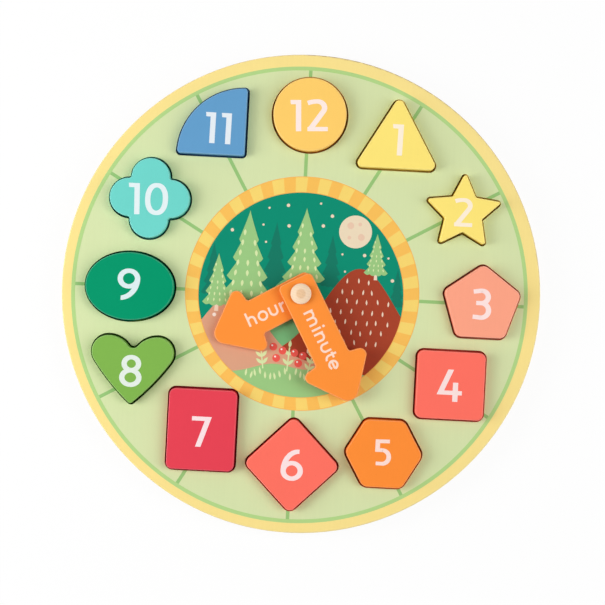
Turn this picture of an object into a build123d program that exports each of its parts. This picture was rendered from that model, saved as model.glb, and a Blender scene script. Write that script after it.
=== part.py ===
from build123d import *
from dataclasses import dataclass
from math import atan2, cos, degrees, pi, radians, sin, sqrt, tan
import os

# Wooden teaching clock: a round board with twelve lift-out shape blocks, one for each hour,
# and two arrow hands that turn freely on a glued peg.
# The clock lies on its back. The origin is the middle of the back, on the surface that carries
# it, +Z points out of the face and +Y points at twelve o'clock. All sizes are in millimetres.

# ---- board: a thin back sheet glued behind a thicker face sheet with twelve cut-outs ----
BOARD_DIAMETER = 280.0
BACK_THICKNESS = 4.0
FACE_THICKNESS = 8.0
FACE_EDGE_ROUND = 0.8
BACK_EDGE_ROUND = 1.0

# ---- blocks: solid wood, standing on the back sheet, proud of the face ----
BLOCK_THICKNESS = 13.0
BLOCK_EDGE_ROUND = 0.6
RECESS_CLEARANCE = 1.2  # gap all round a block in its cut-out

# each block's own sizes, and its inset: how far its middle lies in from the board's rim
TRIANGLE_INSET = 36.4
TRIANGLE_SIDE = 49.1
TRIANGLE_CORNER = 2.9
STAR_INSET = 34.1
STAR_TIP_RADIUS = 23.0
STAR_WAIST_RADIUS = 11.2
STAR_TIP_ROUND = 1.0
STAR_WAIST_ROUND = 1.5
PENTAGON_INSET = 34.5
PENTAGON_RADIUS = 23.5
PENTAGON_CORNER = 4.0
SQUARE_INSET = 38.0
SQUARE_SIDE = 39.4
HEXAGON_INSET = 35.2
HEXAGON_RADIUS = 22.6
HEXAGON_CORNER = 5.0
DIAMOND_INSET = 40.2
DIAMOND_SIDE = 39.4
RECTANGLE_INSET = 42.0
RECTANGLE_WIDTH = 39.4
RECTANGLE_HEIGHT = 46.9
BOX_CORNER = 3.7  # corners of the square, the diamond and the rectangle
HEART_INSET = 32.1
HEART_WIDTH = 47.5
HEART_HEIGHT = 38.9
HEART_LOBE_RADIUS = 9.4
HEART_SIDE_RADIUS = 130.0
HEART_NOTCH_DEPTH = 6.9
HEART_NOTCH_ROUND = 3.8
HEART_POINT_ROUND = 1.6
OVAL_INSET = 40.2
OVAL_LENGTH = 51.4
OVAL_WIDTH = 39.4
FLOWER_INSET = 35.8
FLOWER_WIDTH = 46.4
FLOWER_WAIST_RADIUS = 16.3  # from the middle to the bottom of each notch
FLOWER_NOTCH_ROUND = 1.5
QUARTER_INSET = 30.8
QUARTER_RADIUS = 39.2
QUARTER_CORNER = 1.7
CIRCLE_INSET = 35.5
CIRCLE_DIAMETER = 42.6

# ---- pivot: a turned peg, glued into the board, with thin washers between what turns ----
PEG_DIAMETER = 8.0
PEG_SEAT_DEPTH = 2.5  # how far the shank reaches into the back sheet
PEG_HEAD_DIAMETER = 12.0
PEG_HEAD_RIM = 0.9  # straight edge of the head, below its dome
PEG_HEAD_DOME = 1.8
PEG_HEAD_ROUND = 0.6
GLUE_CLEARANCE = 0.05
RUNNING_CLEARANCE = 0.08  # radial, between the shank and what turns on it
AXIAL_PLAY = 0.1  # between a hand and the washer beside it
WASHER_DIAMETER = 16.0
WASHER_THICKNESS = 0.8
HEAD_WASHER_DIAMETER = 11.0
MINUTE_OVER_BLOCKS = 0.6  # air between the minute hand and the tops of the blocks

# ---- hands: flat arrows, the same but for their length ----
HAND_THICKNESS = 3.5
HAND_EDGE_ROUND = 0.8
HAND_WIDTH = 21.2
HAND_ROOT_OVERHANG = 9.2  # from the pivot to the square end
HAND_ROOT_ROUND = 3.2
ARROW_WIDTH = 44.9  # between the barbs, before they are rounded
ARROW_HALF_ANGLE = 38.4
ARROW_SWEEP = 9.7  # how far the backs of the barbs lean towards the tip, in degrees
ARROW_BARB_ROUND = 3.8
ARROW_TIP_ROUND = 6.5
ARROW_NOTCH_ROUND = 1.6
HOUR_LENGTH = 56.0
MINUTE_LENGTH = 68.2
HOUR_REST_TIME = 7.99  # hours past twelve that the hour hand shows when it is left at rest
MINUTE_REST_TIME = 25.2  # minutes that the minute hand shows

# ---- heights that follow from the sizes above ----
FACE_Z = BACK_THICKNESS + FACE_THICKNESS
BLOCK_TOP_Z = BACK_THICKNESS + BLOCK_THICKNESS
HOUR_Z = FACE_Z + WASHER_THICKNESS + AXIAL_PLAY
SPACER_Z = HOUR_Z + HAND_THICKNESS + AXIAL_PLAY
MINUTE_Z = max(SPACER_Z + WASHER_THICKNESS + AXIAL_PLAY, BLOCK_TOP_Z + MINUTE_OVER_BLOCKS)
HEAD_WASHER_Z = MINUTE_Z + HAND_THICKNESS + AXIAL_PLAY
HEAD_Z = HEAD_WASHER_Z + WASHER_THICKNESS


# ---- block outlines, each about its own middle ----
def rounded(outline: Sketch, radius: float) -> Sketch:
    """Round every corner of an outline alike."""
    return fillet(outline.vertices(), radius)


def bearing_of(run: Vector) -> float:
    """The direction of a run in degrees, counter-clockwise from X."""
    return degrees(atan2(run.Y, run.X))


def regular(corners: int, radius: float, corner_round: float, first_angle: float) -> Sketch:
    """A regular polygon with rounded corners, its first corner at first_angle degrees."""
    return rounded(RegularPolygon(radius, corners, rotation=first_angle), corner_round)


def box(width: float, height: float, turn: float = 0.0) -> Sketch:
    """A rectangle with rounded corners, turned by so many degrees."""
    return Rot(0, 0, turn) * RectangleRounded(width, height, BOX_CORNER)


def star() -> Sketch:
    """A five-pointed star with one tip up: ten corners on two circles, a tenth of a turn apart."""
    corners = []
    for step in range(10):
        radius = STAR_WAIST_RADIUS if step % 2 else STAR_TIP_RADIUS
        angle = pi / 2 + step * pi / 5
        corners.append((radius * cos(angle), radius * sin(angle)))
    outline = Polygon(*corners, align=None)
    by_distance = outline.vertices().sort_by_distance((0, 0, 0))
    waists = by_distance[:5]
    outline = fillet(waists, STAR_WAIST_ROUND)
    tips = outline.vertices().sort_by_distance((0, 0, 0))[-5:]
    return fillet(tips, STAR_TIP_ROUND)


def heart() -> Sketch:
    """Two round lobes drawn out to one rounded point below, with a rounded notch between them.

    Only circles, each touching the next: the right half runs from the notch over a flatter
    shoulder, round the lobe and down the long, slightly bulged side to the point, and the left half
    mirrors it. The shoulder meets the lobe at its top and touches the notch's circle, so its radius
    is (the lobe's X squared + the notch's depth squared) / (2 * the depth) - the notch's round. The
    side holds the circles of the lobe and the point inside its own and touches both.
    """
    half, top, depth = HEART_WIDTH / 2, HEART_HEIGHT / 2, HEART_NOTCH_DEPTH
    lobe = Vector(half - HEART_LOBE_RADIUS, top - HEART_LOBE_RADIUS)
    point = Vector(0, HEART_POINT_ROUND - top)
    notch = Vector(0, top - depth + HEART_NOTCH_ROUND)
    shoulder_radius = (lobe.X**2 + depth**2) / (2 * depth) - HEART_NOTCH_ROUND
    shoulder = Vector(lobe.X, top - shoulder_radius)
    run = point - lobe
    to_lobe, to_point = HEART_SIDE_RADIUS - HEART_LOBE_RADIUS, HEART_SIDE_RADIUS - HEART_POINT_ROUND
    along = (to_lobe**2 - to_point**2 + run.length**2) / (2 * run.length)
    across = sqrt(to_lobe**2 - along**2)
    side = lobe + (run * along + Vector(run.Y, -run.X) * across) / run.length
    leave_notch = bearing_of(shoulder - notch)
    leave_lobe = bearing_of(lobe - side)
    leave_side = bearing_of(point - side)
    right = Curve() + [
        CenterArc(notch, HEART_NOTCH_ROUND, -90, leave_notch + 90),
        CenterArc(shoulder, shoulder_radius, 90, leave_notch + 90),
        CenterArc(lobe, HEART_LOBE_RADIUS, leave_lobe, 90 - leave_lobe),
        CenterArc(side, HEART_SIDE_RADIUS, leave_side, leave_lobe - leave_side),
        CenterArc(point, HEART_POINT_ROUND, -90, leave_side + 90),
    ]
    return make_face(right + mirror(right, about=Plane.YZ))


def flower() -> Sketch:
    """Four round lobes with a small rounded notch between each two, all touching circles.

    With the notch's middle at (m, m), the lobe that reaches the flower's half width w and touches
    a notch of radius f has the radius (2m^2 - 2mw + w^2 - f^2) / (2 (f + w - m)).
    """
    half, notch_round = FLOWER_WIDTH / 2, FLOWER_NOTCH_ROUND
    middle = (FLOWER_WAIST_RADIUS + notch_round) / sqrt(2)
    lobe_radius = (2 * middle * (middle - half) + half**2 - notch_round**2) / (
        2 * (notch_round + half - middle)
    )
    lobe_offset = half - lobe_radius
    reach = degrees(atan2(middle, middle - lobe_offset))
    arcs = []
    for turn in (0, 90, 180, 270):
        arcs.append(Rot(0, 0, turn) * CenterArc((lobe_offset, 0), lobe_radius, -reach, 2 * reach))
        arcs.append(Rot(0, 0, turn) * CenterArc((middle, middle), notch_round, 180 + reach, 90 - 2 * reach))
    return make_face(Curve() + arcs)


def oval(clearance: float = 0.0) -> Sketch:
    """An ellipse lying on its side. Its recess is an ellipse too, longer by the clearance."""
    return Ellipse(OVAL_LENGTH / 2 + clearance, OVAL_WIDTH / 2 + clearance)


def quarter() -> Sketch:
    """A quarter of a disc with its square corner at the lower right, about its centroid."""
    centroid = 4 * QUARTER_RADIUS / (3 * pi)
    window = Pos(-QUARTER_RADIUS / 2, QUARTER_RADIUS / 2) * Rectangle(QUARTER_RADIUS, QUARTER_RADIUS)
    return Pos(centroid, -centroid) * rounded(Circle(QUARTER_RADIUS) & window, QUARTER_CORNER)


@dataclass(frozen=True)
class Block:
    """One lift-out block: its hour, its outline and where its middle lies on the board."""

    hour: int
    shape: str
    outline: Sketch
    rim_inset: float
    past_hour: float = 0.0  # degrees clockwise of its own hour
    fitted_recess: Sketch | None = None  # where a plain offset of the outline won't do

    @property
    def recess(self) -> Sketch:
        if self.fitted_recess is None:
            return offset(self.outline, RECESS_CLEARANCE)
        return self.fitted_recess

    @property
    def name(self) -> str:
        return f"block_{self.hour}_{self.shape}"

    @property
    def place(self) -> Location:
        bearing = radians(30 * self.hour + self.past_hour)
        distance = BOARD_DIAMETER / 2 - self.rim_inset
        return Pos(distance * sin(bearing), distance * cos(bearing))


BLOCKS = [
    Block(1, "triangle", regular(3, TRIANGLE_SIDE / sqrt(3), TRIANGLE_CORNER, 90), TRIANGLE_INSET, -0.2),
    Block(2, "star", star(), STAR_INSET, 0.5),
    Block(3, "pentagon", regular(5, PENTAGON_RADIUS, PENTAGON_CORNER, 90), PENTAGON_INSET, 0.5),
    Block(4, "square", box(SQUARE_SIDE, SQUARE_SIDE), SQUARE_INSET, -1.5),
    Block(5, "hexagon", regular(6, HEXAGON_RADIUS, HEXAGON_CORNER, 0), HEXAGON_INSET, -0.3),
    Block(6, "diamond", box(DIAMOND_SIDE, DIAMOND_SIDE, 45), DIAMOND_INSET, 0.1),
    Block(7, "rectangle", box(RECTANGLE_WIDTH, RECTANGLE_HEIGHT), RECTANGLE_INSET, 3.2),
    Block(8, "heart", heart(), HEART_INSET, 2.9),
    Block(9, "oval", oval(), OVAL_INSET, -0.4, oval(RECESS_CLEARANCE)),
    Block(10, "flower", flower(), FLOWER_INSET, -0.6),
    Block(11, "quarter", quarter(), QUARTER_INSET, 0.5),
    Block(12, "circle", Circle(CIRCLE_DIAMETER / 2), CIRCLE_INSET, -0.1),
]


# ---- pieces ----
def disc(diameter: float, low_z: float, thickness: float) -> Solid:
    """A round plate about the clock's axis, standing at low_z."""
    return Pos(0, 0, low_z) * extrude(Circle(diameter / 2), thickness)


def back_plate() -> Part:
    """The sheet that closes the recesses from behind, with a blind hole for the peg."""
    plate = disc(BOARD_DIAMETER, 0, BACK_THICKNESS)
    plate = fillet(plate.edges().group_by(Axis.Z)[0], BACK_EDGE_ROUND)
    return plate - disc(PEG_DIAMETER + 2 * GLUE_CLEARANCE, BACK_THICKNESS - PEG_SEAT_DEPTH, PEG_SEAT_DEPTH)


def front_plate() -> Part:
    """The face sheet: one cut-out for each block, and the peg's hole through the middle."""
    plate = disc(BOARD_DIAMETER, BACK_THICKNESS, FACE_THICKNESS)
    plate = fillet(plate.edges().group_by(Axis.Z)[-1], FACE_EDGE_ROUND)
    plate -= disc(PEG_DIAMETER + 2 * GLUE_CLEARANCE, BACK_THICKNESS, FACE_THICKNESS)
    for block in BLOCKS:
        plate -= Pos(0, 0, BACK_THICKNESS) * extrude(block.place * block.recess, FACE_THICKNESS)
    return plate


def block_solid(block: Block) -> Part:
    """A block in its recess, with its top and bottom edges eased."""
    body = Pos(0, 0, BACK_THICKNESS) * extrude(block.place * block.outline, BLOCK_THICKNESS)
    levels = body.edges().group_by(Axis.Z)
    return fillet(levels[0] + levels[-1], BLOCK_EDGE_ROUND)


def centre_peg() -> Part:
    """The turned peg: shank, straight head rim and a shallow dome, spun about the axis."""
    shank, head = PEG_DIAMETER / 2, PEG_HEAD_DIAMETER / 2
    foot_z = BACK_THICKNESS - PEG_SEAT_DEPTH
    rim_z = HEAD_Z + PEG_HEAD_RIM
    dome_radius = (head**2 + PEG_HEAD_DOME**2) / (2 * PEG_HEAD_DOME)
    crown = Vector(0, 0, rim_z + PEG_HEAD_DOME)
    edge = Vector(head, 0, rim_z)
    half_angle = atan2(head, dome_radius - PEG_HEAD_DOME) / 2
    on_dome = crown + Vector(dome_radius * sin(half_angle), 0, -dome_radius * (1 - cos(half_angle)))
    sides = Polyline(
        crown, (0, 0, foot_z), (shank, 0, foot_z), (shank, 0, HEAD_Z), (head, 0, HEAD_Z), edge
    )
    profile = make_face(sides + ThreePointArc(edge, on_dome, crown))
    profile = fillet(profile.vertices().sort_by_distance(edge)[:1], PEG_HEAD_ROUND)
    return revolve(profile, Axis.Z)


def washer(diameter: float, low_z: float, thickness: float) -> Part:
    """A flat ring round the peg."""
    hole = PEG_DIAMETER + 2 * RUNNING_CLEARANCE
    return disc(diameter, low_z, thickness) - disc(hole, low_z, thickness)


def arrow(length: float) -> Sketch:
    """A hand's outline, pointing at twelve: a straight shank and a swept arrowhead.

    The sharp tip lies past the rounded one, and the barbs and the notches are worked back from it.
    """
    half_angle = radians(ARROW_HALF_ANGLE)
    half_head, half_shank = ARROW_WIDTH / 2, HAND_WIDTH / 2
    tip_y = length + ARROW_TIP_ROUND * (1 / sin(half_angle) - 1)
    barb_y = tip_y - half_head / tan(half_angle)
    notch_y = barb_y - (half_head - half_shank) * tan(radians(ARROW_SWEEP))
    right = [(half_shank, -HAND_ROOT_OVERHANG), (half_shank, notch_y), (half_head, barb_y)]
    rounds = [HAND_ROOT_ROUND, ARROW_NOTCH_ROUND, ARROW_BARB_ROUND]
    left = [(-x, y) for x, y in reversed(right)]
    outline = Polygon(*right, (0, tip_y), *left, align=None)
    for corner, radius in zip(right + [(0, tip_y)] + left, rounds + [ARROW_TIP_ROUND] + rounds[::-1]):
        outline = fillet(outline.vertices().sort_by_distance((*corner, 0))[:1], radius)
    return outline


def hand(length: float, low_z: float, bearing: float) -> Part:
    """A hand at height low_z, turned clockwise to its bearing, with a running hole for the peg."""
    outline = Rot(0, 0, -bearing) * arrow(length)
    body = Pos(0, 0, low_z) * extrude(outline, HAND_THICKNESS)
    levels = body.edges().group_by(Axis.Z)
    body = fillet(levels[0] + levels[-1], HAND_EDGE_ROUND)
    return body - disc(PEG_DIAMETER + 2 * RUNNING_CLEARANCE, low_z, HAND_THICKNESS)


def pieces() -> dict[str, Part]:
    """Every piece of the clock by its name."""
    made = {
        "back_plate": back_plate(),
        "front_plate": front_plate(),
        "centre_peg": centre_peg(),
        "face_washer": washer(WASHER_DIAMETER, FACE_Z, WASHER_THICKNESS),
        "spacer_washer": washer(WASHER_DIAMETER, SPACER_Z, MINUTE_Z - AXIAL_PLAY - SPACER_Z),
        "head_washer": washer(HEAD_WASHER_DIAMETER, HEAD_WASHER_Z, WASHER_THICKNESS),
        "hour_hand": hand(HOUR_LENGTH, HOUR_Z, 360 * HOUR_REST_TIME / 12),
        "minute_hand": hand(MINUTE_LENGTH, MINUTE_Z, 360 * MINUTE_REST_TIME / 60),
    }
    for block in BLOCKS:
        made[block.name] = block_solid(block)
    return made


os.makedirs("parts", exist_ok=True)
for name, piece in pieces().items():
    piece.label = name
    export_step(piece, f"parts/{name}.step")
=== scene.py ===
"""A round wooden teaching clock: paint, print, bare wood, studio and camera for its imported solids.

Plan sizes are millimetres on the clock's own axes: X towards 3 o'clock, Y towards 12 and Z up
out of the face. They become metres where a mesh is written.
"""

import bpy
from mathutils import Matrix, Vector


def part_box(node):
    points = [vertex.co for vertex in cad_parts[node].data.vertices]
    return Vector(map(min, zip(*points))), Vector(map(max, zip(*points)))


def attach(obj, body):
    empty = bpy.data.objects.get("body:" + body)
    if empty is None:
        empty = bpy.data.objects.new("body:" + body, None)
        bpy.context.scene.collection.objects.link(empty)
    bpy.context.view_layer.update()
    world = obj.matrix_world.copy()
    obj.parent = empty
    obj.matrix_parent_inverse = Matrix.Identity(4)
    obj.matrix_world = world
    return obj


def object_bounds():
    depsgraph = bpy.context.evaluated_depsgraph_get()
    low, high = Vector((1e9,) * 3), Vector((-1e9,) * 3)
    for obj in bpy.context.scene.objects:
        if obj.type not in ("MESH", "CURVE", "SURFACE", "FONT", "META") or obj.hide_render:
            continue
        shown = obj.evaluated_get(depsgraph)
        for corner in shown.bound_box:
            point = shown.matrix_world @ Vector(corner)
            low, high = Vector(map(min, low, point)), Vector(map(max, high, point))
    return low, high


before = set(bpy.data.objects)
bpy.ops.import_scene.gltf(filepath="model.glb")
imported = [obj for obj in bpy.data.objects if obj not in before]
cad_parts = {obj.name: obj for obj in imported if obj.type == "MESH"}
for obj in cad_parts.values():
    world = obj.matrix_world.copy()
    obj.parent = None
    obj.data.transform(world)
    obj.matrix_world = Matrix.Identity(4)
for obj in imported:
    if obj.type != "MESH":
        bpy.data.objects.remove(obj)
CAD_BOX = [list(corner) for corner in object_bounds()]

import logging
import math
from dataclasses import dataclass
from enum import Enum
from typing import Any, Callable, Optional, Sequence, Union

import bpy
import numpy as np

LOG = logging.getLogger("teaching_clock")
MM = 0.001
PRINT_LIFT = 0.02  # the first layer of ink above what carries it
PRINT_STEP = 0.008  # each further layer, so that no two share a plane
STROKE_STEP = 0.003  # strokes of one sign that cross each other
OVERLAP_STEP = 0.0004  # shapes of one layer of the picture that overlap
GRAIN = (1.6, 0.06, 0.5)  # stretches noise into the grain that shows through paint and ink
Array = np.ndarray


# ---------------------------------------------------------------- colours


@dataclass(frozen=True)
class Colour:
    """A colour as it looks, in eight-bit steps of red, green and blue."""

    red: float
    green: float
    blue: float

    def light(self) -> tuple[float, float, float]:
        """The colour as light, for a vector's socket."""
        steps = np.array([self.red, self.green, self.blue]) / 255.0
        return tuple(np.where(steps <= 0.04045, steps / 12.92, ((steps + 0.055) / 1.055) ** 2.4).tolist())

    def linear(self) -> tuple[float, float, float, float]:
        """The colour as light with an alpha of 1, for a colour's socket."""
        return (*self.light(), 1.0)

    def towards(self, other: "Colour", share: float) -> "Colour":
        """This colour with a share of another mixed in."""
        ends = zip((self.red, self.green, self.blue), (other.red, other.green, other.blue))
        return Colour(*[mine + (theirs - mine) * share for mine, theirs in ends])


WHITE = Colour(255, 255, 255)
RING_MIDDLE = (-0.85, -0.63)  # each print sits a little off the board's middle, as on such toys
LINES_MIDDLE = (-1.04, -0.77)
BAND_MIDDLE = (0.68, 0.19)
PICTURE_MIDDLE = (0.0, -0.67)


# ---------------------------------------------------------------- shader graph


def math_method(operation: str, reflected: bool = False) -> Callable[..., "Socket"]:
    """A method of Socket that adds one Math node.

    Args:
        operation: what the node does.
        reflected: whether the socket comes last, as it does on an operator's right.

    Returns:
        The method. It takes the other value, where the operation has one, and gives the result.
    """

    def method(self: "Socket", *others: "Operand") -> "Socket":
        """One Math node on this socket and the other value."""
        values = (*others, self) if reflected else (self, *others)
        return self.graph.node("ShaderNodeMath", {"operation": operation}, dict(enumerate(values)))

    return method


class Socket:
    """An output of a node; arithmetic on it adds Math nodes to its graph."""

    __add__ = math_method("ADD")
    __radd__ = math_method("ADD", reflected=True)
    __sub__ = math_method("SUBTRACT")
    __rsub__ = math_method("SUBTRACT", reflected=True)
    __mul__ = math_method("MULTIPLY")
    __rmul__ = math_method("MULTIPLY", reflected=True)
    __pow__ = math_method("POWER")
    __abs__ = math_method("ABSOLUTE")
    largest = math_method("MAXIMUM")
    wave = math_method("SINE")
    root = math_method("SQRT")
    bearing = math_method("ARCTAN2")  # the angle in radians whose tangent is this over another
    fraction = math_method("FRACT")  # what this has past its whole number

    def __init__(self, graph: "Graph", output: Optional[bpy.types.NodeSocket]) -> None:
        """Keeps the graph and the output that this wraps, or None for a node that ends the graph."""
        self.graph = graph
        self.output = output

    def ramp(self, low: float, high: float) -> "Socket":
        """0 below low, 1 above high, and a smooth rise between; the other way round if low is the larger.

        Args:
            low: where the result is 0.
            high: where the result is 1.

        Returns:
            The rise, from 0 to 1.
        """
        rising = low < high
        ends = (low, high) if rising else (high, low)
        rise = self.graph.node(
            "ShaderNodeMapRange",
            {"interpolation_type": "SMOOTHSTEP", "clamp": True},
            {"Value": self, "From Min": ends[0], "From Max": ends[1], "To Min": 0.0, "To Max": 1.0},
        )
        return rise if rising else 1.0 - rise


Operand = Union[Socket, float, int]
SocketValue = Union[Socket, Colour, float, int, Sequence[float]]


class Graph:
    """The nodes of one material or world."""

    def __init__(self, tree: bpy.types.NodeTree) -> None:
        """Empties the tree and takes it over."""
        tree.nodes.clear()
        self.tree = tree

    def node(
        self,
        kind: str,
        settings: Optional[dict[str, Any]] = None,
        inputs: Optional[dict[Union[str, int], SocketValue]] = None,
        output: Union[str, int] = 0,
    ) -> Socket:
        """Adds a node.

        Args:
            kind: the node's type.
            settings: its own settings, which are set first; "stops" are the places and colours of a ramp
                that doesn't blend them.
            inputs: values, colours or links of its sockets, by name or number.
            output: the socket that is wanted, by name or number.

        Returns:
            That output.
        """
        made = self.tree.nodes.new(kind)
        for name, value in (settings or {}).items():
            if name == "stops":
                self._set_stops(made, value)
            else:
                setattr(made, name, value)
        for name, value in (inputs or {}).items():
            socket = made.inputs[name]
            if isinstance(value, Socket):
                self.tree.links.new(value.output, socket)
            elif isinstance(value, Colour):
                socket.default_value = value.linear() if socket.type == "RGBA" else value.light()
            else:
                socket.default_value = value
        return Socket(self, made.outputs[output] if len(made.outputs) else None)

    @staticmethod
    def _set_stops(ramp: bpy.types.Node, stops: Sequence[tuple[float, Colour]]) -> None:
        """Gives a ramp node its places and colours, each held up to the next."""
        ramp.color_ramp.interpolation = "CONSTANT"
        elements = ramp.color_ramp.elements
        while len(elements) < len(stops):
            elements.new(0.5)
        for element, (place, colour) in zip(elements, stops):
            element.position = place
            element.color = colour.linear()

    def place(self) -> Socket:
        """The point on the surface, in millimetres on the clock's axes."""
        point = self.node("ShaderNodeTexCoord", output="Object")
        return self.scaled(point, 1.0 / MM)

    def scaled(self, vector: SocketValue, factor: Operand) -> Socket:
        """A vector or colour times a number."""
        return self.node("ShaderNodeVectorMath", {"operation": "SCALE"}, {0: vector, 3: factor})

    def times(self, vector: SocketValue, other: SocketValue) -> Socket:
        """A vector or colour times another, part by part."""
        return self.node("ShaderNodeVectorMath", {"operation": "MULTIPLY"}, {0: vector, 1: other})

    def shifted(self, vector: SocketValue, other: SocketValue) -> Socket:
        """A vector plus another."""
        return self.node("ShaderNodeVectorMath", {"operation": "ADD"}, {0: vector, 1: other})

    def parts(self, vector: Socket) -> tuple[Socket, Socket, Socket]:
        """The three numbers of a vector."""
        first = self.node("ShaderNodeSeparateXYZ", None, {0: vector})
        outputs = first.output.node.outputs
        return Socket(self, outputs[0]), Socket(self, outputs[1]), Socket(self, outputs[2])

    def mix(self, share: Operand, first: SocketValue, second: SocketValue) -> Socket:
        """A colour that goes from the first to the second as the share goes from 0 to 1."""
        return self.node(
            "ShaderNodeMix", {"data_type": "RGBA", "clamp_factor": True}, {0: share, 6: first, 7: second}, 2
        )

    def noise(self, point: Socket, per_mm: float, detail: float = 2.0, roughness: float = 0.5) -> Socket:
        """Cloudy noise about 0, from -0.5 to 0.5.

        Args:
            point: where it is read, in millimetres.
            per_mm: features in a millimetre.
            detail: how many finer layers it has.
            roughness: how strong the finer layers are.

        Returns:
            The noise.
        """
        cloud = self.node(
            "ShaderNodeTexNoise",
            {"noise_dimensions": "3D"},
            {"Vector": point, "Scale": per_mm, "Detail": detail, "Roughness": roughness},
        )
        return cloud - 0.5

    def streaks(
        self, point: Socket, stretch: Sequence[float], detail: float = 2.0, roughness: float = 0.5
    ) -> Socket:
        """Noise with its own number of features in a millimetre along each axis."""
        return self.noise(self.times(point, stretch), 1.0, detail, roughness)

    def specks(self, point: Socket, per_mm: float, size: float) -> Socket:
        """Small round specks: 1 within a share of each Voronoi cell's middle, 0 outside.

        Args:
            point: where they are read, in millimetres.
            per_mm: cells in a millimetre.
            size: a speck's radius as a share of a cell.

        Returns:
            The mask.
        """
        inputs = {"Vector": point, "Scale": per_mm}
        distance = self.node("ShaderNodeTexVoronoi", {"feature": "F1"}, inputs, "Distance")
        return distance.ramp(size, size * 0.45)

    def upright(self) -> Socket:
        """How far the surface faces up or down: 1 on flat tops and bottoms, 0 on walls."""
        normal = self.node("ShaderNodeTexCoord", output="Normal")
        return abs(self.parts(normal)[2])

    def surface(
        self,
        colour: SocketValue,
        roughness: SocketValue,
        gloss: float,
        bump: Optional[Socket] = None,
        depth: float = 0.02,
    ) -> None:
        """Ends the graph in a plain opaque shader.

        Args:
            colour: the base colour.
            roughness: the roughness.
            gloss: the specular level, the same all over.
            bump: a height from 0 to 1, or None for a smooth surface.
            depth: how deep the height goes, in millimetres.
        """
        inputs: dict[Union[str, int], SocketValue] = {
            "Base Color": colour,
            "Roughness": roughness,
            "Specular IOR Level": gloss,
        }
        if bump is not None:
            inputs["Normal"] = self.node(
                "ShaderNodeBump", None, {"Height": bump, "Strength": 1.0, "Distance": depth * MM}
            )
        shader = self.node("ShaderNodeBsdfPrincipled", None, inputs)
        self.node("ShaderNodeOutputMaterial", None, {"Surface": shader})


def new_material(name: str) -> tuple[bpy.types.Material, Graph]:
    """A new material and its empty graph."""
    material = bpy.data.materials.new(name)
    material.use_nodes = True
    return material, Graph(material.node_tree)


# ---------------------------------------------------------------- finishes


@dataclass(frozen=True)
class SatinPaint:
    """Sprayed satin paint on wood: the grain shows faintly through it, with dust specks and a painted
    highlight on rounded edges.
    """

    name: str
    colour: Colour
    grain: float = 0.035
    dust: float = 0.10
    # how strongly rounded edges are paled, as a painted highlight
    edge_highlight: float = 0.2
    roughness: float = 0.5
    gloss: float = 0.06

    def material(self) -> bpy.types.Material:
        """Builds the paint.

        Returns:
            The material, with cloudy and streaky tone, specks, and a paler line painted on rounded edges as
            a highlight.
        """
        material, graph = new_material(self.name)
        point = graph.place()
        cloud = graph.noise(point, 0.05, 3.0)
        streak = graph.streaks(point, GRAIN, 3.0, 0.6)
        tone = 1.0 + cloud * 0.05 + streak * self.grain
        specks = graph.specks(graph.shifted(point, (3.1, 7.7, 0.0)), 0.28, 0.075)
        fine = graph.specks(point, 0.8, 0.11)
        tone = tone * (1.0 - specks * self.dust) * (1.0 + fine * self.dust * 0.3)
        up = graph.upright()
        # painted highlight: where the surface turns from the flat top towards the wall, the paint is mixed
        # towards a paler colour
        edge = up.ramp(0.35, 0.75) * up.ramp(0.998, 0.93)
        paint = graph.scaled(self.colour, tone)
        colour = graph.mix(edge * self.edge_highlight, paint, self.colour.towards(WHITE, 0.62))
        height = 0.5 + streak * 0.5 + graph.noise(point, 1.4, 2.0) * 0.5 - specks * 0.3
        graph.surface(colour, self.roughness + cloud * 0.12 + specks * 0.15, self.gloss, height, 0.012)
        return material


@dataclass(frozen=True)
class PrintInk:
    """A flat printed ink: even, with faint mottling, pinholes and a dry satin surface."""

    name: str
    colour: Colour
    mottle: float = 0.04
    pinholes: float = 0.10
    roughness: float = 0.55
    gloss: float = 0.12

    def material(self) -> bpy.types.Material:
        """Builds the ink.

        Returns:
            The material, with cloudy tone, a fine screen of grain and rare darker pinholes.
        """
        material, graph = new_material(self.name)
        point = graph.place()
        cloud = graph.noise(point, 0.09, 3.0)
        streak = graph.streaks(point, GRAIN, 2.0, 0.6)
        holes = graph.specks(graph.shifted(point, (1.7, 4.3, 0.0)), 0.33, 0.07)
        tone = (1.0 + cloud * self.mottle + streak * self.mottle * 0.6) * (1.0 - holes * self.pinholes)
        height = 0.5 + graph.noise(point, 1.8, 2.0) * 0.5
        colour = graph.scaled(self.colour, tone)
        graph.surface(colour, self.roughness + cloud * 0.1, self.gloss, height, 0.006)
        return material


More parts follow.
